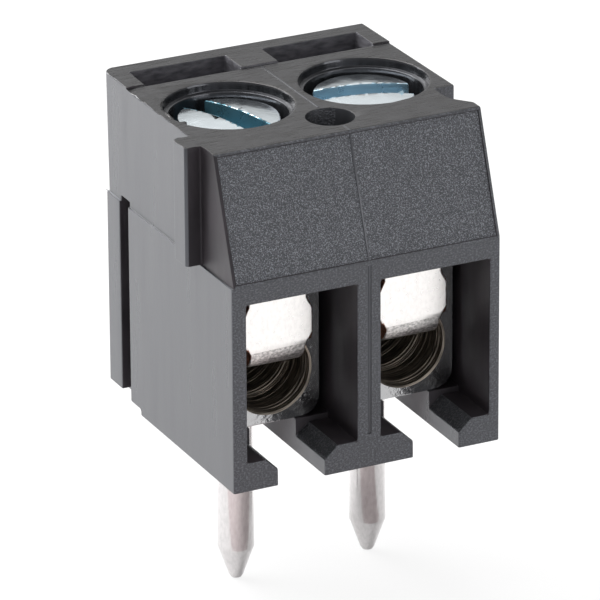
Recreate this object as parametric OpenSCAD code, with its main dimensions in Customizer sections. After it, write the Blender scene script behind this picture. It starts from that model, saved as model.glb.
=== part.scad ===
// Two-pole screw terminal block for a printed circuit board.
// Origin: on the board plane, midway between the two solder pins.
// +X runs along the row of poles, +Y away from the wire side, +Z up off the board.

/* [Body] */
// Distance from one pole to the next
pole_pitch = 3.5; // [3.5:0.05:5.1]
// Height of the housing above the board
body_h = 8.1; // [7.9:0.1:10]
// From the row of pins forward to the front face
front_reach = 3.6; // [3.4:0.1:5]
// From the row of pins back to the rear face, at the top
back_reach = 3.5; // [3.4:0.1:5]
// How much less the rear face reaches at the seam than at the top
rear_draft = 0.09; // [0:0.01:0.2]
// Step in the rear face under its seam
rear_step = 0.18; // [0:0.01:0.3]
// Radius of the rear left corner above the seam
rear_corner_r = 0.3; // [0.1:0.05:0.4]
// Gap left on the right side so that blocks stand side by side
side_clear = 0.1; // [0.05:0.05:0.2]
// Height of the smooth front lip, where the slanted hood starts
hood_z = 5.12; // [5:0.02:6]
// How far the hood leans back at the top
hood_setback = 1.04; // [0.6:0.02:1.4]
// How far the rear strip of the top stands above the rest
strip_rise = 0.05; // [0:0.01:0.1]

/* [Wire chambers] */
// Wall between the two wire chambers
divider_t = 0.62; // [0.5:0.02:0.8]
// Outer side wall of the left chamber
side_wall = 0.37; // [0.3:0.01:0.5]
// Height of the sill at the mouth of a chamber
sill_z = 0.73; // [0.6:0.01:0.9]
// Height of the seat that the clamp block stands on
seat_z = 0.86; // [0.75:0.01:1]
// Clearance between the clamp block and the chamber's roof
roof_clear = 0.07; // [0.04:0.01:0.1]
// Width of the slot that the solder pin slides in through
slot_w = 1.19; // [1:0.01:1.3]
// Width of the chamfer along each side of the pin slot
slot_chamfer_w = 0.35; // [0.1:0.05:0.4]
// Height of that chamfer
slot_chamfer_h = 0.3; // [0.1:0.05:0.4]

/* [Top] */
// Diameter of a screw well at its rim
well_d = 3.05; // [2.8:0.05:3.1]
// Diameter of a screw well below the rim
well_inner_d = 2.8; // [2.6:0.05:2.9]
// Depth of the wider rim
well_rim_h = 0.22; // [0.1:0.02:0.4]
// Distance of the screws behind the row of pins
screw_offset = 0.16; // [0:0.02:0.3]
// Diameter of the test hole between the screws
test_hole_d = 1.15; // [0.8:0.05:1.2]
// Depth of the test hole
test_hole_h = 2.4; // [1:0.1:2.6]
// From the row of pins forward to the test hole
test_hole_reach = 1.6; // [1.4:0.05:2]
// Length of a label pocket along the row
pocket_w = 2.5; // [1.5:0.05:2.6]
// Size of a label pocket from front to back
pocket_d = 0.88; // [0.5:0.02:1]
// Depth of a label pocket
pocket_h = 1.1; // [0.5:0.1:2]

/* [Side by side keying] */
// How far the tongue stands out of the left side
tongue_out = 0.4; // [0.3:0.02:0.45]
// Width of the tongue from front to back
tongue_w = 0.68; // [0.5:0.02:0.8]
// Clearance of the tongue in a neighbour's groove, front and back
tongue_clear = 0.1; // [0.05:0.01:0.2]
// Set-in of the upper left side above its seam
seam_step = 0.05; // [0.02:0.01:0.1]

/* [Clamp] */
// Diameter of the wire bore
bore_d = 2; // [1.8:0.05:2.1]
// Metal under the wire bore
bore_wall = 0.25; // [0.2:0.01:0.3]
// Clearance between the clamp block and the outer wall of its chamber
block_side_clear = 0.13; // [0.1:0.01:0.2]
// Length of the clamp block from front to back
block_l = 3.9; // [3.4:0.1:4.2]
// From the row of pins forward to the clamp block's face
block_reach = 2.02; // [1.8:0.02:2.2]
// Thickness of the wire guard's strip
guard_t = 0.28; // [0.2:0.02:0.32]
// Width of the wire guard's strip
guard_w = 1.42; // [1:0.02:1.44]
// Width of the wire guard across its ears
guard_ear_w = 1.8; // [1.6:0.05:2]
// How far the guard and the screw move down to the closed position
clamp_travel = 1; // [0.6:0.05:1]

/* [Screw] */
// Diameter of the clamp screw's shank
screw_d = 1.92; // [1.7:0.02:1.95]
// Diameter of the clamp screw's head
head_d = 2.4; // [2.2:0.05:2.5]
// Height of the head at its rim
head_h = 0.88; // [0.7:0.02:1]
// Rise of the domed head top over its rim
head_dome = 0.1; // [0.05:0.01:0.15]
// How far the head's rim lies under the top face
head_sunk = 0.3; // [0.2:0.02:0.4]
// Width of the driver slot
driver_w = 0.62; // [0.5:0.02:0.8]
// Depth of the driver slot below the head's rim
driver_h = 0.45; // [0.3:0.05:0.5]
// Radial clearance of the shank in the clamp block
thread_clear = 0.04; // [0.02:0.01:0.08]

/* [Solder pins] */
// Diameter of a solder pin
pin_d = 0.88; // [0.7:0.02:0.95]
// Length of a solder pin below the board plane
pin_l = 3.95; // [2.5:0.05:4.5]
// Length of the pointed end
pin_point_l = 0.82; // [0.4:0.02:1]
// Diameter of the blunt tip
pin_tip_d = 0.34; // [0.2:0.02:0.5]
// Diameter of the shoulder that stops under the clamp block
shoulder_d = 1.1; // [1:0.02:1.15]

/* [Hidden] */
$fn = 64;

eps = 0.01;
over = 1;
half_pitch = pole_pitch / 2;
half_module = pole_pitch;
left_x = -half_module;
right_x = half_module - side_clear;
top_z = body_h - strip_rise;

// Chambers: the divider sets their inner side, the side wall their outer side.
chamber_in_x = divider_t / 2;
chamber_out_x = half_module - side_wall;

// Clamp block, centred on its pole and as wide as its chamber lets it be.
block_w = 2 * (chamber_out_x - half_pitch - block_side_clear);
block_front_y = -block_reach;
block_back_y = block_front_y + block_l;
bore_z = seat_z + bore_wall + bore_d / 2;
roof_z = 4.65;
block_top_z = roof_z - roof_clear;
block_corner_r = 0.5;
block_edge_r = 0.2;
mouth_chamfer = 0.07;
block_gap = 0.05;

// The seat under the clamp block, front and back.
seat_front_y = block_front_y - block_gap;
cavity_back_y = block_back_y + block_gap;

// Wire guard: a strip bent to a U through the bore.
guard_gap = 0.1;
guard_back_y = block_front_y - guard_gap;
guard_front_y = guard_back_y - guard_t;
guard_bend_r = 0.5;
guard_bore_clear = 0.03;
tongue_top_z = bore_z + sqrt(pow(bore_d / 2, 2) - pow(guard_w / 2 + guard_bore_clear, 2));
tongue_low_z = tongue_top_z - guard_t;
guard_bend_z = tongue_low_z + guard_bend_r;
guard_top_z = block_top_z - block_gap;
ear_rise = 0.36;
ear_h = 0.6;
ear_step_h = 0.26;
neck_step_h = 0.3;
ear_low_z = tongue_top_z + ear_rise;
ear_top_z = ear_low_z + ear_h;
leg_back_y = block_back_y + guard_gap + guard_t;
leg_h = 0.9;
leg_clear = 0.15;
leg_top_z = tongue_top_z + leg_h;
leg_recess_w = guard_w + 2 * leg_clear;

// Screw: its tip bears on the guard's tongue.
tip_clear = 0.02;
tip_z = tongue_top_z + tip_clear;
tip_chamfer = 0.15;
head_rim_z = top_z - head_sunk;
head_under_z = head_rim_z - head_h;
well_floor_z = head_under_z - clamp_travel - leg_clear;
shank_clear = 0.2;
shank_hole_d = screw_d + 2 * shank_clear;
screw_hole_d = screw_d + 2 * thread_clear;
driver_angles = [108, -15];

// Keying.
tongue_back_y = -1.25;
tongue_front_y = tongue_back_y - tongue_w;
groove_back_y = tongue_back_y + tongue_clear + 0.07;
groove_depth = tongue_out + 0.03;
groove_round_y = tongue_front_y - tongue_clear + groove_depth;
groove_flare = 0.24;

// Rear left mould relief and the stand-off under the rear.
relief_front_y = 2.06;
relief_w = 0.45;
relief_depth = 0.28;
relief_top_z = hood_z + 0.13;
rib_foot_z = 0.3;
standoff_y = 1.5;
standoff_h = 0.15;

// Label pockets.
pocket_front_y = 2.12;
pocket_in_x = 0.48;

// Pins.
shoulder_t = 0.12;
pin_hole_clear = 0.01;
pin_top_z = bore_z - bore_d / 2 - eps;

function pole_x(i) = (i * 2 - 1) * half_pitch;

// An outline drawn as [y, z] and drawn out along X from x0 to x1.
module along_x(x0, x1) {
  translate([x0, 0, 0]) rotate([90, 0, 90]) linear_extrude(height = x1 - x0) children();
}

// An outline drawn as [x, z] and drawn out along Y from y0 to y1.
module along_y(y0, y1) {
  translate([0, y1, 0]) rotate([90, 0, 0]) linear_extrude(height = y1 - y0) children();
}

module box(low, high) {
  translate(low) cube(high - low);
}

// ---- Housing ----

module body_outline() {
  lip_y = -front_reach;
  hood_y = -front_reach + hood_setback * (top_z - hood_z) / (body_h - hood_z);
  seam_y = back_reach - rear_draft;
  polygon([
    [lip_y, 0],
    [lip_y, hood_z],
    [hood_y, top_z],
    [pocket_front_y, top_z],
    [pocket_front_y, body_h],
    [back_reach, body_h],
    [seam_y, hood_z],
    [seam_y - rear_step, hood_z],
    [seam_y - rear_step, 0]
  ]);
}

// Rounds the rear left corner above the seam, leaning forward with the rear face.
module rear_left_corner() {
  r = rear_corner_r;
  lean = atan(rear_draft / (body_h - hood_z));
  intersection() {
    translate([left_x + seam_step, back_reach, body_h]) rotate([-lean, 0, 0])
      translate([0, 0, -body_h]) linear_extrude(height = body_h + over) difference() {
        translate([-over, -r]) square([over + r, over + r]);
        translate([r, -r]) circle(r = r);
      }
    box([left_x - over, 0, hood_z], [0, back_reach + over, body_h + over]);
  }
}

// The rear block behind the groove reaches out to the module's edge on the right.
module rear_right_wedge() {
  intersection() {
    along_x(right_x - over, half_module) body_outline();
    translate([0, 0, hood_z]) linear_extrude(height = body_h) polygon([
      [right_x - over, groove_back_y],
      [half_module, groove_back_y],
      [right_x, back_reach],
      [right_x - over, back_reach + over]
    ]);
  }
}

// Upper part stands in by seam_step on the left; the lower part is full width.
module body_block() {
  along_x(left_x + seam_step, right_x) body_outline();
  intersection() {
    along_x(left_x, right_x) body_outline();
    box([left_x, -front_reach - over, 0], [right_x, back_reach + over, hood_z]);
  }
}

module tongue() {
  root_x = left_x + seam_step + over / 4;
  bevel = 0.06;
  tip_x = left_x + seam_step - tongue_out;
  translate([0, 0, hood_z]) linear_extrude(height = top_z - hood_z) polygon([
    [root_x, tongue_front_y],
    [tip_x + bevel, tongue_front_y],
    [tip_x, tongue_front_y + bevel],
    [tip_x, tongue_back_y - bevel],
    [tip_x + bevel, tongue_back_y],
    [root_x, tongue_back_y]
  ]);
}

// Groove in the right side for a neighbour's tongue, rounded at the front and flared out.
module groove() {
  translate([0, 0, hood_z]) linear_extrude(height = body_h) {
    translate([right_x, groove_round_y]) circle(r = groove_depth);
    translate([right_x - groove_depth, groove_round_y])
      square([groove_depth + over, groove_back_y - groove_round_y]);
    polygon([
      [right_x - groove_depth * 0.6, groove_round_y - groove_depth * 0.8],
      [right_x + eps, groove_round_y - groove_depth - groove_flare],
      [right_x + over, groove_round_y - groove_depth - groove_flare],
      [right_x + over, groove_round_y]
    ]);
  }
}

module wire_chamber() {
  x0 = chamber_in_x - half_pitch;
  x1 = chamber_out_x - half_pitch;
  box([x0, -front_reach - over, sill_z], [x1, seat_front_y, roof_z]);
  box([x0, seat_front_y - eps, seat_z], [x1, cavity_back_y, roof_z]);
  box([-leg_recess_w / 2, cavity_back_y - eps, tongue_low_z - clamp_travel - leg_clear],
      [leg_recess_w / 2, leg_back_y + guard_gap, roof_z]);
}

// Open slot for the solder pin, from the front face to a round end behind the pin.
module pin_slot() {
  translate([0, 0, -over]) cylinder(d = slot_w, h = seat_z + 2 * over);
  box([-slot_w / 2, -front_reach - over, -over], [slot_w / 2, 0, seat_z + over]);
  along_y(-front_reach - over, seat_front_y) polygon([
    [-slot_w / 2, sill_z - slot_chamfer_h],
    [slot_w / 2, sill_z - slot_chamfer_h],
    [slot_w / 2 + slot_chamfer_w, sill_z + eps],
    [-slot_w / 2 - slot_chamfer_w, sill_z + eps]
  ]);
}

module screw_well() {
  translate([0, screw_offset, 0]) {
    translate([0, 0, top_z - well_rim_h]) cylinder(d = well_d, h = over);
    translate([0, 0, well_floor_z]) cylinder(d = well_inner_d, h = body_h);
    translate([0, 0, roof_z - eps]) cylinder(d = shank_hole_d, h = body_h);
  }
}

module label_pocket(side) {
  x0 = side < 0 ? -pocket_in_x - pocket_w : pocket_in_x;
  box([x0, pocket_front_y, body_h - pocket_h],
      [x0 + pocket_w, pocket_front_y + pocket_d, body_h + over]);
}

module rear_left_relief() {
  box([left_x - over, relief_front_y, -over],
      [left_x + relief_depth, relief_front_y + relief_w, relief_top_z]);
  box([left_x - over, relief_front_y, -over],
      [left_x + relief_depth, back_reach + over, rib_foot_z]);
}

module housing() {
  color("#3a3b3e") difference() {
    union() {
      body_block();
      tongue();
      rear_right_wedge();
    }
    groove();
    rear_left_corner();
    for (i = [0, 1]) {
      mirror([1 - i, 0, 0]) translate([half_pitch, 0, 0]) wire_chamber();
      translate([pole_x(i), 0, 0]) {
        pin_slot();
        screw_well();
      }
    }
    for (side = [-1, 1]) label_pocket(side);
    translate([0, -test_hole_reach, body_h - test_hole_h]) cylinder(d = test_hole_d, h = body_h);
    rear_left_relief();
    box([left_x - over, standoff_y, -over], [right_x + over, back_reach + over, standoff_h]);
  }
}

// ---- One pole, drawn at x = 0 ----

// The clamp block's section: a rectangle, more rounded at the bottom than at the top.
module block_outline() {
  w = block_w / 2;
  low_w = w - block_corner_r;
  top_w = w - block_edge_r;
  low_side_z = seat_z + block_corner_r;
  top_side_z = block_top_z - block_edge_r;
  for (s = [-1, 1]) {
    translate([s * low_w, low_side_z]) circle(r = block_corner_r);
    translate([s * top_w, top_side_z]) circle(r = block_edge_r);
  }
  polygon([
    [-low_w, seat_z], [low_w, seat_z],
    [w, low_side_z], [w, top_side_z],
    [top_w, block_top_z], [-top_w, block_top_z],
    [-w, top_side_z], [-w, low_side_z]
  ]);
}

module bore_mouth() {
  rotate([-90, 0, 0]) cylinder(d1 = bore_d + 2 * mouth_chamfer, d2 = bore_d, h = mouth_chamfer);
}

module terminal_block() {
  color("#c9c8c4") difference() {
    along_y(block_front_y, block_back_y) block_outline();
    translate([0, block_front_y - over, bore_z])
      rotate([-90, 0, 0]) cylinder(d = bore_d, h = block_l + 2 * over);
    translate([0, block_front_y - eps, bore_z]) bore_mouth();
    translate([0, block_back_y + eps, bore_z]) mirror([0, 1, 0]) bore_mouth();
    translate([0, screw_offset, bore_z]) cylinder(d = screw_hole_d, h = body_h);
    translate([0, 0, seat_z - over]) cylinder(r = pin_d / 2 + pin_hole_clear, h = over + bore_d / 2);
  }
}

// The pin's root swells from the board plane up to the shoulder under the clamp block.
module solder_pin() {
  straight_z = -pin_l + pin_point_l;
  tip_r = pin_tip_d / 2;
  color("#d5d3d0") rotate_extrude() polygon([
    [0, -pin_l],
    [tip_r * 0.6, -pin_l],
    [tip_r, -pin_l + tip_r * 0.5],
    [pin_d / 2 - 0.03, straight_z - 0.04],
    [pin_d / 2, straight_z + 0.05],
    [pin_d / 2, 0],
    [shoulder_d / 2, seat_z - shoulder_t],
    [shoulder_d / 2, seat_z],
    [pin_d / 2, seat_z],
    [pin_d / 2, pin_top_z],
    [0, pin_top_z]
  ]);
}

// Quarter of a bend in the strip, centred on [y, z]; turn is the quarter's start angle.
module bend(centre, turn) {
  translate(centre) rotate(turn) difference() {
    circle(r = guard_bend_r);
    circle(r = guard_bend_r - guard_t);
    translate([-over, -over]) square([over, 2 * over]);
    translate([-over, -over]) square([2 * over, over]);
  }
}

module guard_side_outline() {
  front_c = [guard_front_y + guard_bend_r, guard_bend_z];
  back_c = [leg_back_y - guard_bend_r, guard_bend_z];
  translate([guard_front_y, guard_bend_z]) square([guard_t, guard_top_z - guard_bend_z]);
  bend(front_c, 180);
  translate([front_c[0], tongue_low_z]) square([back_c[0] - front_c[0], guard_t]);
  bend(back_c, 270);
  translate([leg_back_y - guard_t, guard_bend_z]) square([guard_t, leg_top_z - guard_bend_z]);
}

module guard_front_outline() {
  w = guard_w / 2;
  e = guard_ear_w / 2;
  n = guard_w / 2 + 0.04;
  polygon([
    [-w, tongue_low_z - over], [w, tongue_low_z - over],
    [w, ear_low_z - ear_step_h], [e, ear_low_z],
    [e, ear_top_z], [n, ear_top_z + neck_step_h],
    [n, guard_top_z + over], [-n, guard_top_z + over],
    [-n, ear_top_z + neck_step_h], [-e, ear_top_z],
    [-e, ear_low_z], [-w, ear_low_z - ear_step_h]
  ]);
}

module wire_guard() {
  color("#dcdbd8") intersection() {
    along_x(-guard_ear_w, guard_ear_w) guard_side_outline();
    union() {
      along_y(guard_front_y - over, block_front_y + over) guard_front_outline();
      box([-guard_w / 2, block_front_y, 0], [guard_w / 2, leg_back_y + over, body_h]);
    }
  }
}

module screw_outline() {
  dome_r = (pow(head_d / 2, 2) + pow(head_dome, 2)) / (2 * head_dome);
  intersection() {
    translate([0, head_rim_z + head_dome - dome_r]) circle(r = dome_r, $fn = 256);
    translate([0, head_under_z]) square([head_d / 2, head_h + head_dome]);
  }
  polygon([
    [0, tip_z],
    [screw_d / 2 - tip_chamfer, tip_z],
    [screw_d / 2, tip_z + tip_chamfer],
    [screw_d / 2, head_under_z + eps],
    [0, head_under_z + eps]
  ]);
}

module clamp_screw(turn) {
  color("#b9c6cc") translate([0, screw_offset, 0]) difference() {
    rotate_extrude() screw_outline();
    rotate([0, 0, turn]) box([-over * 2, -driver_w / 2, head_rim_z - driver_h],
                             [over * 2, driver_w / 2, head_rim_z + over]);
  }
}

// ---- Nodes ----

module terminal_block_1() { translate([pole_x(0), 0, 0]) terminal_block(); }
module solder_pin_1() { translate([pole_x(0), 0, 0]) solder_pin(); }
module wire_guard_1() { translate([pole_x(0), 0, 0]) wire_guard(); }
module clamp_screw_1() { translate([pole_x(0), 0, 0]) clamp_screw(driver_angles[0]); }
module terminal_block_2() { translate([pole_x(1), 0, 0]) terminal_block(); }
module solder_pin_2() { translate([pole_x(1), 0, 0]) solder_pin(); }
module wire_guard_2() { translate([pole_x(1), 0, 0]) wire_guard(); }
module clamp_screw_2() { translate([pole_x(1), 0, 0]) clamp_screw(driver_angles[1]); }

housing();
terminal_block_1();
solder_pin_1();
wire_guard_1();
clamp_screw_1();
terminal_block_2();
solder_pin_2();
wire_guard_2();
clamp_screw_2();
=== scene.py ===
import math
import random

import bmesh
import bpy
from bpy.props import FloatProperty, FloatVectorProperty, PointerProperty, StringProperty
from mathutils import Matrix, Vector


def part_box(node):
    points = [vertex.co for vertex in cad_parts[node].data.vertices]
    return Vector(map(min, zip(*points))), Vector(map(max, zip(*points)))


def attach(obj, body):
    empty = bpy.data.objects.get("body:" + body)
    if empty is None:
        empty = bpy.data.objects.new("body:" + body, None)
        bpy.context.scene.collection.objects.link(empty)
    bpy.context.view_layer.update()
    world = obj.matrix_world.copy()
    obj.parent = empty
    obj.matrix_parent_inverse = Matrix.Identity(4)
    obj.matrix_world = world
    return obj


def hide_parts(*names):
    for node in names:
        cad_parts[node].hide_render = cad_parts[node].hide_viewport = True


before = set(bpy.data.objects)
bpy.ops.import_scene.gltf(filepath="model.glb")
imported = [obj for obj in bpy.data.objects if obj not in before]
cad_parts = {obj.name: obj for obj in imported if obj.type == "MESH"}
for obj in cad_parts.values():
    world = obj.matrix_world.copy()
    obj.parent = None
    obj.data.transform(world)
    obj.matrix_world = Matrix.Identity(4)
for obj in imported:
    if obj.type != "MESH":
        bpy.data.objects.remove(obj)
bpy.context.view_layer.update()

bl_info = {
    "name": "Screw terminal block",
    "version": (1, 0, 0),
    "blender": (4, 5, 0),
    "location": "View3D > Sidebar > Terminal",
    "description": "Dresses a two-pole screw terminal block for a printed circuit board",
    "category": "Object",
}

MM = 0.001
POLES = ("1", "2")


# ---- Places taken from the frame ----

def middle(node):
    """Middle of a CAD node's box."""
    low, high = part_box(node)
    return (low + high) / 2


def pole_x(pole):
    """Place along the row that the pin, block, guard and screw of a pole share."""
    return middle("solder_pin_" + pole).x


HOUSE_LOW, HOUSE_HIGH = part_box("housing")
BLOCK_LOW, BLOCK_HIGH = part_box("terminal_block_1")
PIN_FOOT_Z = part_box("solder_pin_1")[0].z


# ---- Sizes and colours a user would change ----

def length_of(name, description, millimetres):
    """A length that a user would change."""
    return FloatProperty(name=name, description=description, default=millimetres * MM, unit="LENGTH")


def angle_of(name, description, degrees):
    """An angle that a user would change."""
    return FloatProperty(name=name, description=description, default=math.radians(degrees), subtype="ANGLE")


def colour_of(name, what, default):
    """A colour that a user would change."""
    return StringProperty(name=name, description=f"Colour of {what}, as sRGB hex", default=default)


class HousingSettings(bpy.types.PropertyGroup):
    """The moulded housing"""
    edge: length_of("Edge radius", "Radius left on the moulded edges", 0.045)
    seam_edge: FloatProperty(name="Seam edge", default=0.4, min=0.1, max=1, subtype="FACTOR",
                             description="Share of that radius on the fine steps and the worn edges")
    hood_z: length_of("Hood height", "Height at which the slanted hood starts", 5.12)
    hood_border: length_of("Hood border", "Smooth border around the eroded face of the hood", 0.07)
    hood_depth: length_of("Hood depth", "How far the eroded face lies under its border", 0.03)
    fray: length_of("Edge wear", "How far the worn top left edges wander", 0.011)
    line_w: length_of("Mould line width", "Width of the line left by the mould's halves", 0.05)
    line_h: length_of("Mould line height", "Height of that line over the surface", 0.012)
    line_foot: length_of("Mould line foot", "Height at which the line on the divider ends", 0.85)
    colour: colour_of("Polyamide", "the moulded polyamide", "#202123")
    # The chamber walls' colour also colours the painted shade by the tongue and round the hood.
    inner_and_shade_colour: colour_of("Chamber walls", "the polyamide in the chambers", "#221e21")
    bloom_colour: colour_of("Pocket walls", "the polyamide in the pockets", "#4a494d")
    grain: length_of("Erosion grain", "Size of a drawn grain of the spark-eroded hood", 0.027)


class ClampSettings(bpy.types.PropertyGroup):
    """The clamp blocks and wire guards"""
    bore_d: length_of("Bore", "Diameter of the wire bore", 2.0)
    bore_z: length_of("Bore height", "Height of the bore's axis over the board", 2.11)
    ring_pitch: length_of("Ring pitch", "Distance between the drill's marks in the bore", 0.11)
    ring_depth: length_of("Ring depth", "Depth of the drill's marks", 0.024)
    low_corner: length_of("Lower corner", "Radius of the block's lower edges", 0.5)
    top_corner: length_of("Upper corner", "Radius of the block's upper edges", 0.2)
    block_colour: colour_of("Block plating", "the nickel plating", "#aaaaab")
    bore_colour: colour_of("Bore", "the turned brass in the bore", "#968e84")
    guard_edge: length_of("Strip edge", "Radius on the edges of the guard's strip", 0.05)
    bend_r: length_of("Bend height", "Height of the bend at the foot of the guard's plate", 0.5)
    bend_drop: length_of("Bend drop", "How far the bend bulges below the guard's tongue", 0.12)
    cut_colour: colour_of("Cut edge", "the bronze at the strip's cut edges", "#a87a68")
    guard_colour: colour_of("Strip plating", "the tin plating", "#efecea")


class ScrewSettings(bpy.types.PropertyGroup):
    """The clamp screws"""
    head_d: length_of("Head", "Diameter of the head", 2.4)
    head_h: length_of("Head height", "Height of the head at its rim", 0.88)
    dome: length_of("Dome", "Rise of the head's domed top", 0.1)
    shank_d: length_of("Shank", "Outside diameter of the thread", 1.92)
    slot_w: length_of("Slot width", "Width of the driver slot", 0.62)
    slot_h: length_of("Slot depth", "Depth of the driver slot under the rim", 0.45)
    thread: length_of("Thread pitch", "Distance between the thread's crests", 0.4)
    burr: length_of("Burr", "How far the burrs on the slot's edges wander", 0.032)
    turn_1: angle_of("Turn 1", "Direction of the first screw's slot", 108)
    turn_2: angle_of("Turn 2", "Direction of the second screw's slot", -15)
    colour: colour_of("Zinc", "the blue zinc plating", "#d8e0e4")
    # The slots are darker and bluer than the head: the blue of the plating, and painted shade in the slot;
    # the first slot's colour is the darker copy.
    slot_colour_1: colour_of("Slot 1", "the plating in the first slot", "#5d8998")
    slot_colour_2: colour_of("Slot 2", "the plating in the second slot", "#a3bcc9")


class PinSettings(bpy.types.PropertyGroup):
    """The solder pins"""
    pin_d: length_of("Pin", "Diameter of a solder pin", 0.88)
    point_l: length_of("Point", "Length of the pointed end", 0.82)
    tip_d: length_of("Tip", "Diameter of the blunt tip", 0.34)
    colour: colour_of("Tin", "the bright tin", "#cbc8c8")


class StageSettings(bpy.types.PropertyGroup):
    """The floor, the lamps and the camera"""
    azimuth: angle_of("Azimuth", "How far the camera stands to the left of the front", 26.08)
    elevation: angle_of("Elevation", "How far the camera stands above the level", 22.775)
    roll: angle_of("Roll", "Turn of the camera about its own axis", -0.31)
    distance: length_of("Distance", "From the camera to the point it looks at", 150.9)
    target: FloatVectorProperty(name="Target", description="The point the camera looks at",
                                default=(-0.032 * MM, -0.037 * MM, 2.888 * MM), size=3,
                                subtype="TRANSLATION")
    lens: FloatProperty(name="Lens", description="Focal length of the camera in millimetres",
                        default=384.68, unit="CAMERA")


# ---- Small tools ----

WELD = 1e-7      # points of a new piece that are closer than this are one point
CAD_WELD = 2e-7  # the same for a copy of a CAD node
TOUCH = 1e-6     # places closer than this count as level


def linear(hex_colour):
    """sRGB hex to the linear colour that a shader takes."""
    values = [int(hex_colour[i:i + 2], 16) / 255 for i in (1, 3, 5)]
    return (*(v / 12.92 if v <= 0.04045 else ((v + 0.055) / 1.055) ** 2.4 for v in values), 1.0)


def alone(piece=None):
    """Leaves only this piece selected, or nothing."""
    if bpy.context.object and bpy.context.object.mode != "OBJECT":
        bpy.ops.object.mode_set(mode="OBJECT")
    bpy.ops.object.select_all(action="DESELECT")
    bpy.context.view_layer.objects.active = piece
    if piece:
        piece.select_set(True)


def edit(piece):
    """Opens the piece for editing."""
    alone(piece)
    bpy.ops.object.mode_set(mode="EDIT")


def close_edit():
    bpy.ops.object.mode_set(mode="OBJECT")


def take(name):
    """The piece that an operator has just made, given its name."""
    piece = bpy.context.object
    piece.name = name
    piece.data.name = name
    return piece


def settle(piece):
    """Puts the piece's place, turn and size into its mesh."""
    alone(piece)
    bpy.ops.object.transform_apply(location=True, rotation=True, scale=True)


def face_out(piece):
    """Merges doubles and turns every face outward."""
    edit(piece)
    bpy.ops.mesh.select_all(action="SELECT")
    bpy.ops.mesh.remove_doubles(threshold=WELD)
    bpy.ops.mesh.normals_make_consistent(inside=False)
    close_edit()


def merged_copy(node, name):
    """A copy of a CAD node with its loose triangles joined into whole faces."""
    piece = bpy.data.objects.new(name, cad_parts[node].data.copy())
    piece.data.name = name
    piece.data.materials.clear()
    bpy.context.scene.collection.objects.link(piece)
    edit(piece)
    bpy.ops.mesh.select_all(action="SELECT")
    bpy.ops.mesh.remove_doubles(threshold=CAD_WELD)
    bpy.ops.mesh.customdata_custom_splitnormals_clear()
    bpy.ops.mesh.dissolve_limited(angle_limit=math.radians(0.8))
    close_edit()
    return piece


def turned(name, centre, profile, segments=72):
    """A round piece: a disc extruded up Z through (radius, z) steps."""
    radius, z = profile[0]
    alone()
    bpy.ops.mesh.primitive_circle_add(vertices=segments, radius=radius, fill_type="NGON",
                                      location=(centre[0], centre[1], z))
    piece = take(name)
    settle(piece)
    edit(piece)
    bpy.ops.mesh.select_all(action="SELECT")
    for next_radius, next_z in profile[1:]:
        bpy.ops.mesh.extrude_region_move(TRANSFORM_OT_translate={"value": (0, 0, next_z - z)})
        share = next_radius / radius
        if abs(share - 1) > TOUCH:
            bpy.ops.transform.resize(value=(share, share, 1),
                                     center_override=(centre[0], centre[1], next_z))
        radius, z = next_radius, next_z
    close_edit()
    face_out(piece)
    return piece


def solid_box(name, low, high):
    """A box between two corners."""
    low, high = Vector(low), Vector(high)
    alone()
    bpy.ops.mesh.primitive_cube_add(size=1, location=(low + high) / 2)
    piece = take(name)
    piece.scale = high - low
    settle(piece)
    return piece


def cut(piece, cutter):
    """Takes the cutter's shape out of the piece and removes the cutter."""
    alone(piece)
    bpy.ops.object.modifier_add(type="BOOLEAN")
    step = piece.modifiers[-1]
    step.operation = "DIFFERENCE"
    step.solver = "EXACT"
    step.object = cutter
    bpy.ops.object.modifier_apply(modifier=step.name)
    bpy.data.objects.remove(cutter)


def mark_edges(piece, limit, share_of):
    """Gives each edge sharper than the limit its share of the bevel, and the rest none."""
    mesh = bmesh.new()
    mesh.from_mesh(piece.data)
    weights = mesh.edges.layers.float
    layer = weights.get("bevel_weight_edge") or weights.new("bevel_weight_edge")
    for e in mesh.edges:
        sharp = len(e.link_faces) == 2 and e.calc_face_angle(0) > limit
        e[layer] = share_of((e.verts[0].co + e.verts[1].co) / 2, e) if sharp else 0
    mesh.to_mesh(piece.data)
    mesh.free()


def round_edges(piece, width, segments=2, limit=math.radians(32), share_of=None, material=-1):
    """Rounds the sharp edges, each by its share of the width."""
    mark_edges(piece, limit, share_of or (lambda place, e: 1.0))
    alone(piece)
    bpy.ops.object.modifier_add(type="BEVEL")
    step = piece.modifiers[-1]
    step.width = width
    step.segments = segments
    step.limit_method = "WEIGHT"
    step.use_clamp_overlap = False
    step.material = material
    step.miter_outer = "MITER_ARC"
    bpy.ops.object.modifier_apply(modifier=step.name)


def fray_edges(piece, spacing, reach, seed, node, where=None):
    """Divides the long sharp edges and moves their points a little, within the node's box, as wear does."""
    low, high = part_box(node)
    mesh = bmesh.new()
    mesh.from_mesh(piece.data)
    long_ones = [e for e in mesh.edges if e.calc_length() > 2 * spacing and len(e.link_faces) == 2
                 and e.calc_face_angle(0) > math.radians(40)
                 and (where is None or where((e.verts[0].co + e.verts[1].co) / 2))]
    luck = random.Random(seed)
    most_cuts = 60
    for e in long_ones:
        cuts = min(most_cuts, int(e.calc_length() / spacing))
        made = bmesh.ops.subdivide_edges(mesh, edges=[e], cuts=cuts)
        for v in [g for g in made["geom_inner"] if isinstance(g, bmesh.types.BMVert)]:
            moved = [q + luck.uniform(-reach, reach) for q in v.co]
            v.co = [min(max(q, low[i]), high[i]) for i, q in enumerate(moved)]
    mesh.to_mesh(piece.data)
    mesh.free()


def keep_inside(piece, node):
    """Brings back any point that lies outside the node's box."""
    low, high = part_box(node)
    for v in piece.data.vertices:
        v.co = [min(max(q, low[i]), high[i]) for i, q in enumerate(v.co)]


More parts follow.
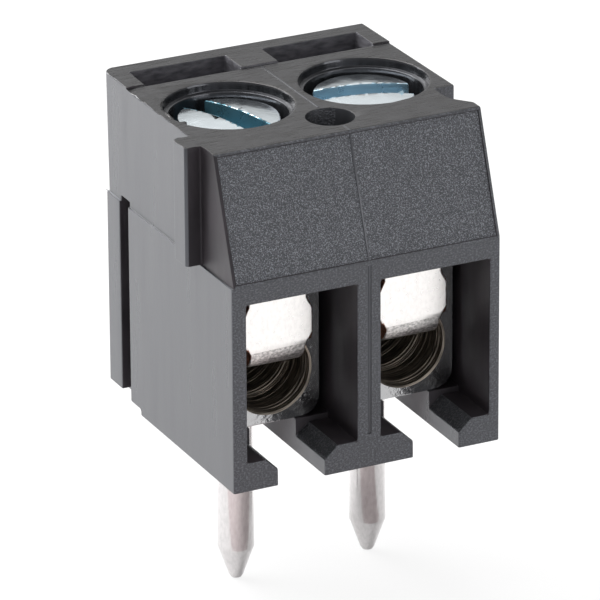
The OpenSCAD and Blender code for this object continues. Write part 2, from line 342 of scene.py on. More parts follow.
def shade(piece, angle=35):
    """Smooth shading that keeps the flat faces flat."""
    alone(piece)
    bpy.ops.object.shade_smooth_by_angle(angle=math.radians(angle))
    bpy.ops.object.modifier_add(type="WEIGHTED_NORMAL")
    step = piece.modifiers[-1]
    step.mode = "FACE_AREA"
    step.weight = 100
    step.keep_sharp = True
    bpy.ops.object.modifier_apply(modifier=step.name)


def give(piece, *materials):
    """Puts the materials into the piece's slots, in this order."""
    for material in materials:
        piece.data.materials.append(material)


def finish_piece(piece, body, slot, *nodes):
    """Rides the finished piece on its body and lets it stand for the CAD nodes."""
    alone()
    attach(piece, body)
    if nodes:
        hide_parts(*nodes)


# ---- Materials ----

def add_node(owner, kind, settings=(), links=()):
    """Adds a node, sets its values, inputs or colour stops, and links (input, from node, from output)."""
    tree = owner.node_tree
    node = tree.nodes.new(kind)
    for name, value in dict(settings).items():
        if name == "stops":
            while len(node.color_ramp.elements) < len(value):
                node.color_ramp.elements.new(0.5)
            for element, (position, colour) in zip(node.color_ramp.elements, value):
                element.position = position
                element.color = colour
        elif isinstance(name, int) or name in node.inputs:
            node.inputs[name].default_value = value
        else:
            setattr(node, name, value)
    for name, source, output in links:
        tree.links.new(source.outputs[output], node.inputs[name])
    return node


def new_material(name, hex_colour, roughness, metallic=0.0, ior=None):
    """A material and its shader, with the values that its patterns start from."""
    material = bpy.data.materials.new(name)
    material.use_nodes = True
    shader = material.node_tree.nodes["Principled BSDF"]
    shader.inputs["Base Color"].default_value = linear(hex_colour)
    shader.inputs["Roughness"].default_value = roughness
    shader.inputs["Metallic"].default_value = metallic
    if ior:
        shader.inputs["IOR"].default_value = ior
    material.diffuse_color = linear(hex_colour)
    return material, shader


def shades(hex_colour, *stops):
    """Colour stops of (position, share of the colour's light)."""
    r, g, b, full = linear(hex_colour)
    return [(position, (r * share, g * share, b * share, full)) for position, share in stops]


def dress(material, shader, patterns, tone=None, shine=None, relief=()):
    """Adds patterns and lets them drive the shader.

    A pattern is noise on Object coordinates: the size of its grains along X, Y and Z, and its detail.
    The others name a pattern: tone with colour stops, shine with the lowest and highest roughness,
    and each relief with its depth and strength.
    """
    links = material.node_tree.links
    noise = {}
    for name, (size, detail) in patterns.items():
        place = add_node(material, "ShaderNodeTexCoord")
        spread = add_node(material, "ShaderNodeMapping", {"Scale": tuple(1 / q for q in size)},
                          [("Vector", place, "Object")])
        noise[name] = add_node(material, "ShaderNodeTexNoise", {"Scale": 1.0, "Detail": detail},
                               [("Vector", spread, "Vector")])
    if tone:
        name, stops = tone
        ramp = add_node(material, "ShaderNodeValToRGB", {"stops": stops}, [("Fac", noise[name], "Fac")])
        links.new(ramp.outputs["Color"], shader.inputs["Base Color"])
    if shine:
        name, low, high = shine
        span = add_node(material, "ShaderNodeMapRange",
                        {"From Min": 0.3, "From Max": 0.7, "To Min": low, "To Max": high},
                        [("Value", noise[name], "Fac")])
        links.new(span.outputs["Result"], shader.inputs["Roughness"])
    under = None
    for name, depth, strength in relief:
        base = [("Normal", under, "Normal")] if under else []
        under = add_node(material, "ShaderNodeBump", {"Strength": strength, "Distance": depth},
                         [("Height", noise[name], "Fac"), *base])
    if under:
        links.new(under.outputs["Normal"], shader.inputs["Normal"])
    return material


def polyamide(name, hex_colour, roughness, level=0.75, tint="#f3f5ff"):
    """The shader that all faces of the black polyamide 6.6 share: a cool, fairly strong surface gloss."""
    material, shader = new_material(name, hex_colour, roughness, ior=1.53)
    shader.inputs["Specular IOR Level"].default_value = level
    shader.inputs["Specular Tint"].default_value = linear(tint)
    return material, shader


def moulded_polyamide(hex_colour):
    """Polyamide from a polished tool: satin, with faint flow streaks down the sides."""
    material, shader = polyamide("moulded_polyamide", hex_colour, 0.3)
    return dress(material, shader,
                 {"flow": ((0.5 * MM, 0.5 * MM, 4 * MM), 4.0), "fine": ((0.09 * MM,) * 3, 3.0)},
                 tone=("flow", shades(hex_colour, (0.3, 0.85), (0.7, 1.2))),
                 shine=("flow", 0.26, 0.36),
                 relief=[("fine", 0.004 * MM, 0.25)])


def eroded_polyamide(hex_colour, grain_size):
    """Polyamide from a spark-eroded tool face: matt, with bright crests on a dark ground.

    The craters of such a face are finer, and are drawn this coarse to show.
    """
    material, shader = polyamide("spark_eroded_polyamide", hex_colour, 0.4)
    return dress(material, shader,
                 {"grain": ((grain_size,) * 3, 3.0), "broad": ((grain_size * 2.7,) * 3, 2.0)},
                 tone=("grain", shades(hex_colour, (0.37, 0.1), (0.49, 0.8), (0.65, 11.0))),
                 relief=[("broad", 0.02 * MM, 0.35), ("grain", 0.03 * MM, 0.9)])


def honed_polyamide(hex_colour):
    """Polyamide from a stoned tool face: half matt, with a fine dry grain on the front edges and chamfers.

    The marks of the stone are finer, and are drawn this coarse to show.
    """
    material, shader = polyamide("honed_polyamide", hex_colour, 0.36)
    return dress(material, shader, {"grain": ((0.055 * MM, 0.045 * MM, 0.04 * MM), 4.0)},
                 tone=("grain", shades(hex_colour, (0.38, 0.15), (0.5, 0.7), (0.64, 4.0))),
                 shine=("grain", 0.28, 0.5),
                 relief=[("grain", 0.03 * MM, 0.9)])


def rubbed_polyamide(hex_colour):
    """The top face, rubbed in handling: fine scratches along the row, dull and a little brown.

    The scratches are finer, and are drawn this coarse to show.
    """
    material, shader = polyamide("rubbed_polyamide", hex_colour, 0.34, 0.4, "#fff8f3")
    return dress(material, shader,
                 {"marks": ((0.5 * MM, 0.04 * MM, 0.2 * MM), 5.0), "blots": ((0.35 * MM,) * 3, 5.0)},
                 tone=("marks", shades(hex_colour, (0.36, 0.5), (0.64, 1.7))),
                 shine=("marks", 0.2, 0.5),
                 relief=[("marks", 0.016 * MM, 0.6), ("blots", 0.02 * MM, 0.6)])


def shaded_core_polyamide(hex_colour):
    """The walls of the wells, off a polished core pin: dark and glossy, with drag marks down the wall."""
    material, shader = polyamide("shaded_core_polyamide", hex_colour, 0.16, 0.6)
    return dress(material, shader, {"drag": ((0.12 * MM, 0.12 * MM, 0.9 * MM), 4.0)},
                 tone=("drag", shades(hex_colour, (0.3, 0.45), (0.7, 0.95))),
                 shine=("drag", 0.1, 0.24),
                 relief=[("drag", 0.01 * MM, 0.5)])


def inner_and_shade_polyamide(hex_colour):
    """The walls inside the chambers, off a rough core: dull and nearly black."""
    material, shader = polyamide("inner_and_shade_polyamide", hex_colour, 0.5, 0.35, "#ecebf3")
    return dress(material, shader, {"cloud": ((0.5 * MM, 0.5 * MM, 1.2 * MM), 4.0)},
                 tone=("cloud", shades(hex_colour, (0.35, 0.7), (0.7, 1.5))),
                 shine=("cloud", 0.42, 0.6),
                 relief=[("cloud", 0.02 * MM, 0.2)])


def bloomed_polyamide(hex_colour):
    """The walls of the label pockets, never rubbed: dull, with a grey bloom on the moulded skin."""
    material, shader = polyamide("bloomed_polyamide", hex_colour, 0.5, 0.5)
    return dress(material, shader, {"cloud": ((0.3 * MM, 0.3 * MM, 0.1 * MM), 4.0)},
                 tone=("cloud", shades(hex_colour, (0.35, 0.6), (0.65, 1.5))),
                 shine=("cloud", 0.42, 0.6),
                 relief=[("cloud", 0.01 * MM, 0.3)])


def nickel_plate(hex_colour):
    """Nickel over turned brass: a dark mirror with fine tool marks, drawn coarser than they are to show."""
    material, shader = new_material("nickel_plated_brass", hex_colour, 0.12, metallic=1.0)
    return dress(material, shader, {"wear": ((0.12 * MM,) * 3, 5.0)},
                 shine=("wear", 0.05, 0.17),
                 relief=[("wear", 0.02 * MM, 0.5)])


def drilled_brass(hex_colour):
    """Brass as the drill left it under thin plating: brown-grey, with dull rings drawn coarser to show."""
    material, shader = new_material("drilled_brass", hex_colour, 0.42, metallic=1.0)
    return dress(material, shader, {"rings": ((0.5 * MM, 0.04 * MM, 0.5 * MM), 4.0)},
                 tone=("rings", shades(hex_colour, (0.32, 0.45), (0.5, 1), (0.7, 1.7))),
                 shine=("rings", 0.34, 0.52),
                 relief=[("rings", 0.012 * MM, 0.6)])


def sheared_bronze(hex_colour):
    """The strip's cut edge, where the bronze shows through the tin: red-brown and rough."""
    material, shader = new_material("sheared_bronze", hex_colour, 0.4, metallic=1.0)
    return dress(material, shader, {"tears": ((0.1 * MM,) * 3, 4.0)},
                 tone=("tears", shades(hex_colour, (0.35, 0.5), (0.6, 1.1), (0.75, 2))))


def tin_strip(hex_colour):
    """Tin over rolled bronze strip: white and half bright, with faint rolling marks drawn coarser to show."""
    material, shader = new_material("tin_plated_strip", hex_colour, 0.3, metallic=1.0)
    return dress(material, shader, {"marks": ((0.1 * MM, 0.1 * MM, 0.16 * MM), 4.0)},
                 tone=("marks", shades(hex_colour, (0.3, 0.88), (0.6, 1))),
                 shine=("marks", 0.26, 0.38),
                 relief=[("marks", 0.006 * MM, 0.2)])


def stretched_and_shaded_tin(hex_colour):
    """The tin over the outside of the bend, crazed where the strip was stretched: dull and mottled grey.

    The cracks are finer, and are drawn this coarse to show.
    """
    material, shader = new_material("stretched_and_shaded_tin", hex_colour, 0.4, metallic=1.0)
    return dress(material, shader, {"craze": ((0.07 * MM, 0.05 * MM, 0.05 * MM), 5.0)},
                 tone=("craze", shades(hex_colour, (0.36, 0.4), (0.5, 0.66), (0.66, 0.95))),
                 shine=("craze", 0.3, 0.5),
                 relief=[("craze", 0.012 * MM, 0.6)])


def blue_zinc(name, hex_colour, roughness, metallic=1.0):
    """Blue-passivated zinc on steel: pale blue-grey, bright, with soft clouds."""
    material, shader = new_material(name, hex_colour, roughness, metallic=metallic)
    return dress(material, shader,
                 {"cloud": ((0.35 * MM,) * 3, 3.0), "streak": ((0.25 * MM, 0.06 * MM, 0.12 * MM), 4.0)},
                 shine=("cloud", roughness * 0.8, roughness * 1.3),
                 relief=[("cloud", 0.02 * MM, 0.5), ("streak", 0.004 * MM, 0.4)])


def bright_tin(hex_colour):
    """Bright tin on drawn wire: smooth and silvery, with faint dull marks along it, drawn coarser to show."""
    material, shader = new_material("bright_tin", hex_colour, 0.18, metallic=1.0)
    return dress(material, shader, {"marks": ((0.06 * MM, 0.06 * MM, 0.16 * MM), 4.0)},
                 tone=("marks", shades(hex_colour, (0.32, 0.88), (0.6, 1))),
                 shine=("marks", 0.12, 0.22),
                 relief=[("marks", 0.004 * MM, 0.2)])


# ---- Housing ----

# The finishes of the housing, by material slot; the inner and core ones are darker copies that hold painted
# shade
SMOOTH, ERODED, HONED, RUBBED, SHADED_CORE, INNER_AND_SHADE, BLOOMED = range(7)

# The part of its normal along an axis from which a face looks that way, lies level, or slants
FACING, LEVEL, SLANTED = 0.8, 0.95, 0.3

HOOD_AREA = 4 * MM * MM               # the hood is the only slanted face above this
STEP_AREA = 0.3 * MM * MM             # the faces of the step round it are below this
FINE_AREA = 0.4 * MM * MM             # a face below this is a fine step

# Shares of the edge radius at the rear left corner and at the rims of the wells and the pockets
CORNER_SHARE, WELL_SHARE, POCKET_SHARE = 0.8, 1.6, 0.5

# Zones of the housing
DECK_Z = HOUSE_HIGH.z - 0.05 * MM     # the top face, beside its raised strips
RIM_Z = HOUSE_HIGH.z - 0.06 * MM      # only the top face and its edges lie above this
WORN_X = HOUSE_LOW.x + 0.9 * MM       # the edges left of this are worn
WORN_BACK_Y = 3 * MM
REAR_CORNER_Y = HOUSE_HIGH.y - 0.45 * MM
WELL_R = 1.6 * MM
WELL_FLOOR_Z = 4.8 * MM
POCKET_FRONT_Y = 2.05 * MM
POCKET_BACK_Y = 3.1 * MM
POCKET_SIDE_X = 3.05 * MM
POCKET_FLOOR_Z = HOUSE_HIGH.z - 1.2 * MM
HOOD_BACK_Y = -2 * MM
HOOD_SIDE_X = 3.36 * MM
SEAM_X = HOUSE_LOW.x + 0.7 * MM       # the fine seam at the hood's height is left of this
# The faces by the tongue take painted shade.
TONGUE_X = HOUSE_LOW.x + 0.6 * MM     # the faces by the tongue are left of, before and above these
TONGUE_Y = -1.9 * MM
TONGUE_Z = 5.2 * MM
CHAMFER_Z = 1 * MM                    # the slanted faces of the floor are below this
CHAMBER_FLOOR_Z = 0.7 * MM
CHAMBER_ROOF_Z = BLOCK_HIGH.z + 0.12 * MM
WALL = 0.3 * MM                       # the outer walls and half the divider
BACK_Y = 2.5 * MM                     # a face behind this that looks back is outside


def in_well(place):
    """Whether a place lies in or over a screw well."""
    return min((place.xy - middle("clamp_screw_" + pole).xy).length for pole in POLES) < WELL_R


def in_pocket(place):
    """Whether a place lies in, under or over a label pocket."""
    return POCKET_FRONT_Y < place.y < POCKET_BACK_Y and abs(place.x) < POCKET_SIDE_X


class TERMINAL_OT_housing(bpy.types.Operator):
    """Rounds the edges of the moulded housing and gives each of its faces the finish of its tool"""
    bl_idname = "terminal.housing"
    bl_label = "Housing"

    def execute(self, context):
        s = context.scene.terminal_housing
        piece = merged_copy("housing", "moulded_housing")
        give(piece, moulded_polyamide(s.colour), eroded_polyamide(s.colour, s.grain),
             honed_polyamide(s.colour), rubbed_polyamide(s.colour), shaded_core_polyamide(s.colour),
             inner_and_shade_polyamide(s.inner_and_shade_colour), bloomed_polyamide(s.bloom_colour))
        self.sink_hood(piece, s)
        fray_edges(piece, spacing=0.11 * MM, reach=s.fray, seed=3, node="housing",
                   where=lambda q: q.z > RIM_Z and q.x < WORN_X and q.y < WORN_BACK_Y)
        round_edges(piece, s.edge, share_of=lambda place, e: self.edge_share(place, e, s))
        keep_inside(piece, "housing")
        # The front is already the foremost plane, so the mould line lies in a shallow groove there.
        groove_front = HOUSE_LOW.y - 0.1 * MM
        cut(piece, solid_box("line_groove", (-s.line_w, groove_front, s.line_foot),
                             (s.line_w, HOUSE_LOW.y + 2 * s.line_h, s.hood_z - LINE_GAP)))
        shade(piece)
        finish_piece(piece, "terminal_body", "housing_nylon", "housing")
        return {"FINISHED"}

    def sink_hood(self, piece, s):
        """Sinks the eroded face of the hood within its border, and gives every face its finish."""
        edit(piece)
        bpy.ops.mesh.select_all(action="DESELECT")
        mesh = bmesh.from_edit_mesh(piece.data)
        hoods = [f for f in mesh.faces
                 if f.normal.y < -FACING and f.normal.z > 0.1 and f.calc_area() > HOOD_AREA]
        if not hoods:
            raise RuntimeError("The slanted face of the hood was not found")
        for face in hoods:
            face.select_set(True)
        bmesh.update_edit_mesh(piece.data)
        bpy.ops.mesh.inset(thickness=s.hood_border, depth=0)
        bpy.ops.mesh.inset(thickness=s.hood_depth / 2, depth=-s.hood_depth)
        mesh = bmesh.from_edit_mesh(piece.data)
        # The small faces of the step round the sunk face get the dark inner copy: a painted shadow line.
        step = {g for f in mesh.faces if f.select for e in f.edges for g in e.link_faces
                if not g.select and g.calc_area() < STEP_AREA}
        for face in mesh.faces:
            face.material_index = ERODED if face.select else INNER_AND_SHADE if face in step else self.finish_of(face)
        bmesh.update_edit_mesh(piece.data)
        close_edit()

    def finish_of(self, face):
        """The finish of a face, from its place and the way it looks."""
        n, c = face.normal, face.calc_center_median()
        if n.z > LEVEL and c.z > RIM_Z:
            return RUBBED
        # The wells' walls take the darker core copy: painted shade in the wells.
        if in_well(c) and c.z > WELL_FLOOR_Z and c.y < POCKET_FRONT_Y:
            return SHADED_CORE
        if in_pocket(c) and c.z > POCKET_FLOOR_Z:
            return BLOOMED
        if c.z < CHAMFER_Z and SLANTED < n.z < LEVEL:
            return HONED
        # Faces left of and before the tongue take the dark inner copy: painted shade, where the tongue keeps
        # the light off them.
        shaded_by_tongue = c.z > TONGUE_Z and c.x < TONGUE_X and c.y < TONGUE_Y
        if shaded_by_tongue and (n.y < -FACING or n.x < -FACING):
            return INNER_AND_SHADE
        within = abs(c.x) < HOUSE_HIGH.x - WALL and c.y > HOUSE_LOW.y + 0.05 * MM
        outer_back = n.y > FACING and c.y > BACK_Y
        if within and abs(c.x) > WALL and CHAMBER_FLOOR_Z < c.z < CHAMBER_ROOF_Z and not outer_back:
            return INNER_AND_SHADE
        if n.y < -FACING:
            return HONED if c.y < 0 else INNER_AND_SHADE
        return SMOOTH

    def edge_share(self, place, e, s):
        """The share of the edge radius that an edge takes, from its middle point and its faces."""
        if place.y > REAR_CORNER_Y and place.x < WORN_X:
            return CORNER_SHARE
        on_hood = place.z > s.hood_z + 0.05 * MM and place.y < HOOD_BACK_Y and abs(place.x) < HOOD_SIDE_X
        if on_hood and any(f.material_index in (ERODED, INNER_AND_SHADE) for f in e.link_faces):
            return 0
        at_rim = place.z > RIM_Z
        if in_well(place) and at_rim:
            return WELL_SHARE
        if in_pocket(place) and at_rim:
            return POCKET_SHARE
        fine = min(f.calc_area() for f in e.link_faces) < FINE_AREA
        at_seam = abs(place.z - s.hood_z) < 0.02 * MM and place.x < SEAM_X
        return s.seam_edge if fine or at_seam or (at_rim and place.x < WORN_X) else 1.0


# ---- Mould line ----

HOOD_REACH = 1.02 * MM                # from the front to the hood's upper edge
HOLE_FRONT_Y = -2.25 * MM             # the small hole in the top interrupts the line
HOLE_BACK_Y = -0.95 * MM
LINE_END_Y = 2.1 * MM
LINE_GAP = 0.05 * MM                  # between the line on the divider and the hood's lip
LINE_ROOT = 0.03 * MM                 # how deep the line stands in the surface
LINE_X = 0.02 * MM                    # how far it lies right of the middle


class TERMINAL_OT_mould_line(bpy.types.Operator):
    """Lays the fine raised line of the mould down the top, the hood and the divider"""
    bl_idname = "terminal.mould_line"
    bl_label = "Mould line"

    def execute(self, context):
        s = context.scene.terminal_housing
        lip = Vector((0, HOUSE_LOW.y, s.hood_z))
        brow = Vector((0, HOUSE_LOW.y + HOOD_REACH, DECK_Z))
        sunk = (brow - lip).cross(Vector((1, 0, 0))).normalized() * s.hood_depth
        divider_y = HOUSE_LOW.y + 2 * s.line_h
        runs = [((0, divider_y, s.line_foot), (0, divider_y, s.hood_z - LINE_GAP)),
                (lip + sunk, brow + sunk), (brow, (0, HOLE_FRONT_Y, DECK_Z)),
                ((0, HOLE_BACK_Y, DECK_Z), (0, LINE_END_Y, DECK_Z))]
        ridges = [self.ridge(Vector(start), Vector(end), s) for start, end in runs]
        alone(ridges[0])
        for ridge in ridges:
            ridge.select_set(True)
        bpy.ops.object.join()
        line = take("mould_line")
        round_edges(line, 0.006 * MM)
        keep_inside(line, "housing")
        shade(line)
        give(line, bpy.data.materials["moulded_polyamide"])
        finish_piece(line, "terminal_body", "housing_nylon")
        return {"FINISHED"}

    def ridge(self, start, end, s):
        """One straight run of the line."""
        along = end - start
        bar = solid_box("ridge", (-s.line_w / 2, 0, -LINE_ROOT), (s.line_w / 2, along.length, s.line_h))
        bar.rotation_euler = (math.atan2(along.z, along.y), 0, 0)
        bar.location = start + Vector((LINE_X, 0, 0))
        settle(bar)
        return bar


# ---- Clamps ----

class TERMINAL_OT_blocks(bpy.types.Operator):
    """Makes the two clamp blocks, with the drill's rings in their bores"""
    bl_idname = "terminal.blocks"
    bl_label = "Clamp blocks"

    def execute(self, context):
        s = context.scene.terminal_clamp
        finish = nickel_plate(s.block_colour)
        bare = drilled_brass(s.bore_colour)
        bore_r, hole_r = s.bore_d / 2, 1.0 * MM
        for pole in POLES:
            x = pole_x(pole)
            low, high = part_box("terminal_block_" + pole)
            piece = solid_box("clamp_block_" + pole, low, high)
            self.round_level(piece, low.z, s.low_corner)
            self.round_level(piece, high.z, s.top_corner)
            cut(piece, self.bore(x, low.y, high.y, s))
            hole = turned("screw_hole", (x, middle("clamp_screw_" + pole).y),
                          [(hole_r, s.bore_z), (hole_r, high.z + MM)], 64)
            cut(piece, hole)
            face_out(piece)

            def off_axis(place):
                return Vector((place.x - x, place.z - s.bore_z)).length

            # The edges at the bore's two mouths are the drill's and stay sharp.
            round_edges(piece, 0.03 * MM, limit=math.radians(40),
                        share_of=lambda place, e: 0 if off_axis(place) < bore_r + 0.1 * MM else 1)
            shade(piece)
            give(piece, finish, bare)
            for face in piece.data.polygons:
                in_bore = off_axis(face.center) < bore_r + 0.06 * MM and abs(face.normal.y) < 0.9
                face.material_index = 1 if in_bore else 0
            finish_piece(piece, "terminal_body", "clamp_block_plating", "terminal_block_" + pole)
        return {"FINISHED"}

    def round_level(self, piece, level, radius):
        """Rounds the two long edges at this height."""
        edit(piece)
        bpy.ops.mesh.select_all(action="DESELECT")
        mesh = bmesh.from_edit_mesh(piece.data)
        for e in mesh.edges:
            a, b = e.verts[0].co, e.verts[1].co
            e.select_set(max(abs(a.z - level), abs(b.z - level), abs(a.x - b.x)) < TOUCH)
        bmesh.update_edit_mesh(piece.data)
        bpy.ops.mesh.bevel(offset=radius, segments=10, affect="EDGES", clamp_overlap=False)
        close_edit()

    def bore(self, x, front, back, s):
        """The cutter for the wire bore: a bar with the drill's rings, laid along Y."""
        r, reach = s.bore_d / 2, back - front
        over = 0.01 * MM        # how far the bar stands out at each end
        entry = 0.04 * MM       # depth of the front mouth, where the rings start
        ring = 0.02 * MM        # from a ring's crest to its foot
        luck = random.Random(7)
        steps = [(r + 0.05 * MM, -over), (r, entry)]
        for i in range(1, int(reach / s.ring_pitch)):
            depth = s.ring_depth * luck.uniform(0.2, 0.95)
            place = (i + luck.uniform(-0.25, 0.25)) * s.ring_pitch + entry
            steps += [(r + depth, place), (r, place + ring)]
        steps = [step for step in steps if step[1] < reach - 0.12 * MM]
        steps += [(r, reach - 0.07 * MM), (r + 0.07 * MM, reach + over)]
        bar = turned("bore_bar", (0, 0), steps, 64)
        bar.rotation_euler = (-math.pi / 2, 0, 0)
        bar.location = (x, front, s.bore_z)
        settle(bar)
        return bar


class TERMINAL_OT_guards(bpy.types.Operator):
    """Makes the two wire guards of bent strip"""
    bl_idname = "terminal.guards"
    bl_label = "Wire guards"

    def execute(self, context):
        s = context.scene.terminal_clamp
        finishes = tin_strip(s.guard_colour), sheared_bronze(s.cut_colour), stretched_and_shaded_tin(s.guard_colour)
        ease = 0.2 * MM         # the bulge grows over this height
        for pole in POLES:
            node = "wire_guard_" + pole
            piece = merged_copy(node, "guard_strip_" + pole)
            give(piece, *finishes)
            bend_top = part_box(node)[0].z + s.bend_r
            for v in piece.data.vertices:
                if v.co.y < BLOCK_LOW.y and v.co.z < bend_top:
                    v.co.z -= s.bend_drop * min(1, (bend_top - v.co.z) / ease)
            # The faces under the bend take the darker stretched tin: crazing, and partly a painted reflection
            # of the shaded floor below.
            for face in piece.data.polygons:
                c, n = face.center, face.normal
                under_bend = c.y < BLOCK_LOW.y and c.z < bend_top and n.z < -0.1
                face.material_index = 1 if abs(n.x) > 0.6 else 2 if under_bend else 0
            fray_edges(piece, spacing=0.12 * MM, reach=0.007 * MM, seed=11 + int(pole), node=node)
            round_edges(piece, s.guard_edge, segments=3, limit=math.radians(40))
            shade(piece)
            finish_piece(piece, "guard_" + pole, "guard_plating", node)
        return {"FINISHED"}


class TERMINAL_OT_screws(bpy.types.Operator):
    """Makes the two slotted clamp screws"""
    bl_idname = "terminal.screws"
    bl_label = "Clamp screws"

    def execute(self, context):
        s = context.scene.terminal_screw
        plain = blue_zinc("blue_zinc", s.colour, 0.17)
        slots = (s.turn_1, s.slot_colour_1), (s.turn_2, s.slot_colour_2)
        for pole, (turn, slot_colour) in zip(POLES, slots):
            node = "clamp_screw_" + pole
            low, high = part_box(node)
            rim = high.z - s.dome
            slot_floor, half_slot = rim - s.slot_h, s.slot_w / 2
            hub = Vector((pole_x(pole), middle(node).y, 0))
            across = Vector((-math.sin(turn), math.cos(turn), 0))
            piece = turned("screw_" + pole, hub, self.profile(low.z, rim, high.z, s), 96)
            bar = solid_box("slot_bar", (-2 * MM, -half_slot, slot_floor), (2 * MM, half_slot, high.z + MM))
            bar.rotation_euler = (0, 0, turn)
            bar.location = hub
            settle(bar)
            cut(piece, bar)
            face_out(piece)
            # Each slot's colour holds painted shade; the first screw's slot gets the darker copy.
            give(piece, plain, blue_zinc("blue_zinc_slot_" + pole, slot_colour, 0.3, 0.75))

            def off_slot(place):
                return abs((place - hub).dot(across))

            fray_edges(piece, spacing=0.07 * MM, reach=s.burr, seed=5 + int(pole), node=node,
                       where=lambda q: q.z > rim - 0.02 * MM and abs(off_slot(q) - half_slot) < 0.01 * MM)
            for face in piece.data.polygons:
                in_slot = (off_slot(face.center) < half_slot + s.burr and face.center.z > slot_floor - TOUCH
                           and (face.center - hub).xy.length < s.head_d / 2 * 0.98)
                face.material_index = 1 if in_slot else 0
            round_edges(piece, 0.03 * MM, limit=math.radians(50))
            shade(piece)
            finish_piece(piece, "screw_" + pole, "screw_zinc", node)
        return {"FINISHED"}

    def profile(self, tip, rim, top, s):
        """Steps of (radius, z) up the screw, with rings for its thread, which the block hides."""
        r, head, under = s.shank_d / 2, s.head_d / 2, rim - s.head_h
        tip_chamfer, head_chamfer = 0.15 * MM, 0.04 * MM
        first_ring = 0.3 * MM
        plain_neck = 0.4 * MM   # left without thread under the head
        groove = 0.13 * MM
        steps = [(r - tip_chamfer, tip), (r, tip + tip_chamfer)]
        for i in range(int((under - tip - (first_ring + plain_neck)) / s.thread)):
            z = tip + first_ring + i * s.thread
            steps += [(r - depth, z + s.thread * share)
                      for share, depth in ((0, 0), (0.4, groove), (0.5, groove), (0.9, 0))]
        steps += [(r, under), (head - head_chamfer, under), (head, under + head_chamfer),
                  (head, rim - 0.03 * MM)]
        steps += [(head * q, rim + s.dome * (1 - q * q))
                  for q in (0.98, 0.9, 0.8, 0.68, 0.54, 0.4, 0.26, 0.12)]
        return [*steps, (head * 0.02, top)]


class TERMINAL_OT_pins(bpy.types.Operator):
    """Makes the two round solder pins"""
    bl_idname = "terminal.pins"
    bl_label = "Solder pins"

    def execute(self, context):
        s = context.scene.terminal_pin
        finish = bright_tin(s.colour)
        tip, r, seat = s.tip_d / 2, s.pin_d / 2, BLOCK_LOW.z
        shoulder_h = 0.12 * MM
        for pole in POLES:
            node = "solder_pin_" + pole
            low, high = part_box(node)
            shoulder, point = (high.x - low.x) / 2, low.z + s.point_l
            # A blunt tip with a rounded rim, the cone with a soft shoulder, the shank, and the root
            profile = [(tip * 0.35, low.z), (tip * 0.75, low.z + 0.03 * MM), (tip, low.z + 0.09 * MM),
                       (r - 0.03 * MM, point - 0.05 * MM), (r - 0.008 * MM, point), (r, point + 0.06 * MM),
                       (r, 0), (shoulder, seat - shoulder_h), (shoulder, seat), (r, seat), (r, high.z)]
            piece = turned("pin_" + pole, (pole_x(pole), 0), profile, 64)
            shade(piece, 40)
            give(piece, finish)
            finish_piece(piece, "terminal_body", "pin_tin", node)
        return {"FINISHED"}


# ---- Stage ----

WHITE = (1, 1, 1, 1)

# Name, place and side in millimetres, power in watts, and the place it looks at
LAMPS = (("floor_wash", (-45, 75, 70), 120, 0.25, (-15, 28, -4)),
         ("back_left", (-110, 190, 10), 150, 0.3, (0, 0, 3)),
         ("top_soft", (-30, 20, 220), 160, 0.2, (0, 0, 3)),
         ("front_right", (110, -190, 10), 130, 0.16, (0, 0, 3)))


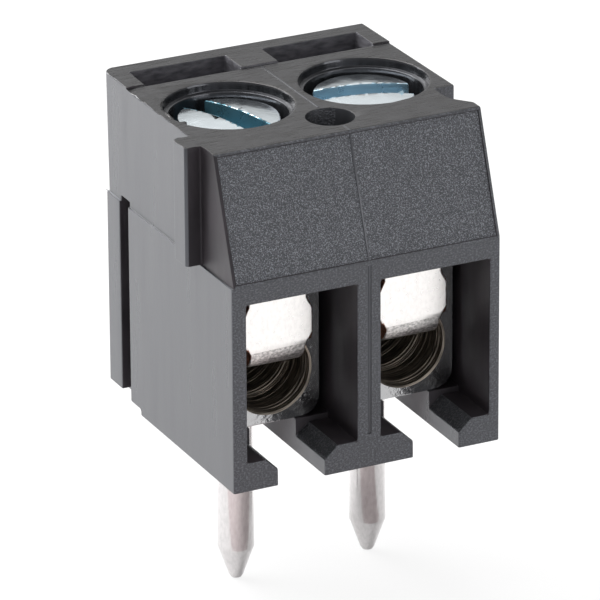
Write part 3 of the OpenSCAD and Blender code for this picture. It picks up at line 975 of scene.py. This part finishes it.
class TERMINAL_OT_stage(bpy.types.Operator):
    """Sets the pale floor, the soft lamps and the camera"""
    bl_idname = "terminal.stage"
    bl_label = "Stage"

    def execute(self, context):
        self.floor()
        self.world(context)
        for lamp in LAMPS:
            self.lamp(*lamp)
        self.shadow_card()
        self.camera(context)
        context.scene.view_settings.view_transform = "Standard"
        return {"FINISHED"}

    def floor(self):
        """White paper that keeps a soft shadow; the camera sees it white, and reflections in part."""
        alone()
        bpy.ops.mesh.primitive_plane_add(size=3, location=(0, 0, PIN_FOOT_Z - 0.01 * MM))
        floor = take("floor")
        settle(floor)
        material, shader = new_material("white_paper", "#f4f4f4", 0.9)
        rays = add_node(material, "ShaderNodeLightPath")
        glow = add_node(material, "ShaderNodeEmission", {"Color": WHITE, "Strength": 1.0})
        seen = add_node(material, "ShaderNodeMath", {"operation": "MULTIPLY", 1: 0.85},
                        [(0, rays, "Is Camera Ray")])
        mirrored = add_node(material, "ShaderNodeMath", {"operation": "MAXIMUM"},
                            [(0, rays, "Is Glossy Ray"), (1, rays, "Is Transmission Ray")])
        share = add_node(material, "ShaderNodeMath", {"operation": "MULTIPLY_ADD", 1: 0.3},
                         [(0, mirrored, 0), (2, seen, 0)])
        mix = add_node(material, "ShaderNodeMixShader", (), [(0, share, 0), (1, shader, 0), (2, glow, 0)])
        tree = material.node_tree
        tree.links.new(mix.outputs[0], tree.nodes["Material Output"].inputs["Surface"])
        give(floor, material)

    def world(self, context):
        """Soft room light; the camera sees white, and reflections see white dimming toward the horizon."""
        world = bpy.data.worlds.new("studio")
        context.scene.world = world
        world.use_nodes = True
        tree = world.node_tree
        plain = tree.nodes["Background"]
        plain.inputs["Color"].default_value = WHITE
        plain.inputs["Strength"].default_value = 0.6
        rays = add_node(world, "ShaderNodeLightPath")
        place = add_node(world, "ShaderNodeTexCoord")
        parts = add_node(world, "ShaderNodeSeparateXYZ", (), [(0, place, "Generated")])
        ceiling = add_node(world, "ShaderNodeMapRange",
                           {"From Min": 0.25, "From Max": 0.52, "To Min": 0.5, "To Max": 0.95},
                           [("Value", parts, "Z")])
        level = add_node(world, "ShaderNodeMix", {3: 1.0},
                         [(0, rays, "Is Camera Ray"), (2, ceiling, "Result")])
        white = add_node(world, "ShaderNodeBackground", {"Color": WHITE}, [("Strength", level, 0)])
        mirrored = add_node(world, "ShaderNodeMath", {"operation": "MAXIMUM"},
                            [(0, rays, "Is Glossy Ray"), (1, rays, "Is Transmission Ray")])
        both = add_node(world, "ShaderNodeMath", {"operation": "MAXIMUM"},
                        [(0, rays, "Is Camera Ray"), (1, mirrored, 0)])
        mix = add_node(world, "ShaderNodeMixShader", (), [(0, both, 0), (1, plain, 0), (2, white, 0)])
        tree.links.new(mix.outputs[0], tree.nodes["World Output"].inputs["Surface"])

    def lamp(self, name, place, side, power, aim):
        """A square soft lamp."""
        light = bpy.data.lights.new(name, "AREA")
        light.shape = "SQUARE"
        light.size = side * MM
        light.energy = power
        lamp = bpy.data.objects.new(name, light)
        bpy.context.scene.collection.objects.link(lamp)
        lamp.location = Vector(place) * MM
        lamp.rotation_euler = (Vector(aim) * MM - lamp.location).to_track_quat("-Z", "Y").to_euler()

    def shadow_card(self):
        """A small grey card on the floor before the block, which only the bright metal shows."""
        alone()
        bpy.ops.mesh.primitive_plane_add(size=1, location=(-2.2 * MM, -5.6 * MM, PIN_FOOT_Z))
        shadow_card = take("shadow_card")
        shadow_card.scale = (11 * MM, 8.6 * MM, 1)
        settle(shadow_card)
        give(shadow_card, new_material("painted_floor_shadow", "#d6cccc", 0.9)[0])
        shadow_card.visible_camera = shadow_card.visible_diffuse = shadow_card.visible_shadow = shadow_card.visible_transmission = False

    def camera(self, context):
        """The camera, turned about the point it looks at."""
        s = context.scene.terminal_stage
        level = math.cos(s.elevation)
        away = Vector((-math.sin(s.azimuth) * level, -math.cos(s.azimuth) * level, math.sin(s.elevation)))
        camera = bpy.data.objects.new("camera", bpy.data.cameras.new("camera"))
        context.scene.collection.objects.link(camera)
        camera.location = Vector(s.target) + away * s.distance
        turn = (-away).to_track_quat("-Z", "Y").to_matrix()
        camera.rotation_euler = (turn @ Matrix.Rotation(s.roll, 3, "Z")).to_euler()
        camera.data.lens = s.lens
        camera.data.sensor_width = 36
        camera.data.clip_start = 0.01
        camera.data.clip_end = 10
        context.scene.camera = camera


# ---- Add-on ----

OPERATORS = (TERMINAL_OT_housing, TERMINAL_OT_mould_line, TERMINAL_OT_blocks, TERMINAL_OT_guards,
             TERMINAL_OT_screws, TERMINAL_OT_pins, TERMINAL_OT_stage)
GROUPS = {"terminal_housing": HousingSettings, "terminal_clamp": ClampSettings,
          "terminal_screw": ScrewSettings, "terminal_pin": PinSettings, "terminal_stage": StageSettings}


class TERMINAL_PT_panel(bpy.types.Panel):
    """Lists the pieces of the terminal block"""
    bl_idname = "TERMINAL_PT_panel"
    bl_label = "Screw terminal block"
    bl_space_type = "VIEW_3D"
    bl_region_type = "UI"
    bl_category = "Terminal"

    def draw(self, context):
        for name, group in GROUPS.items():
            column = self.layout.column(heading=group.__doc__)
            for key in group.__annotations__:
                column.prop(getattr(context.scene, name), key)
        for operator in OPERATORS:
            self.layout.operator(operator.bl_idname)


def register():
    for cls in (*GROUPS.values(), *OPERATORS, TERMINAL_PT_panel):
        bpy.utils.register_class(cls)
    for name, group in GROUPS.items():
        setattr(bpy.types.Scene, name, PointerProperty(type=group))


def unregister():
    for name in GROUPS:
        delattr(bpy.types.Scene, name)
    for cls in reversed((*GROUPS.values(), *OPERATORS, TERMINAL_PT_panel)):
        bpy.utils.unregister_class(cls)


def main():
    register()
    for operator in OPERATORS:
        group, name = operator.bl_idname.split(".")
        getattr(getattr(bpy.ops, group), name)()


if __name__ == "__main__":
    main()
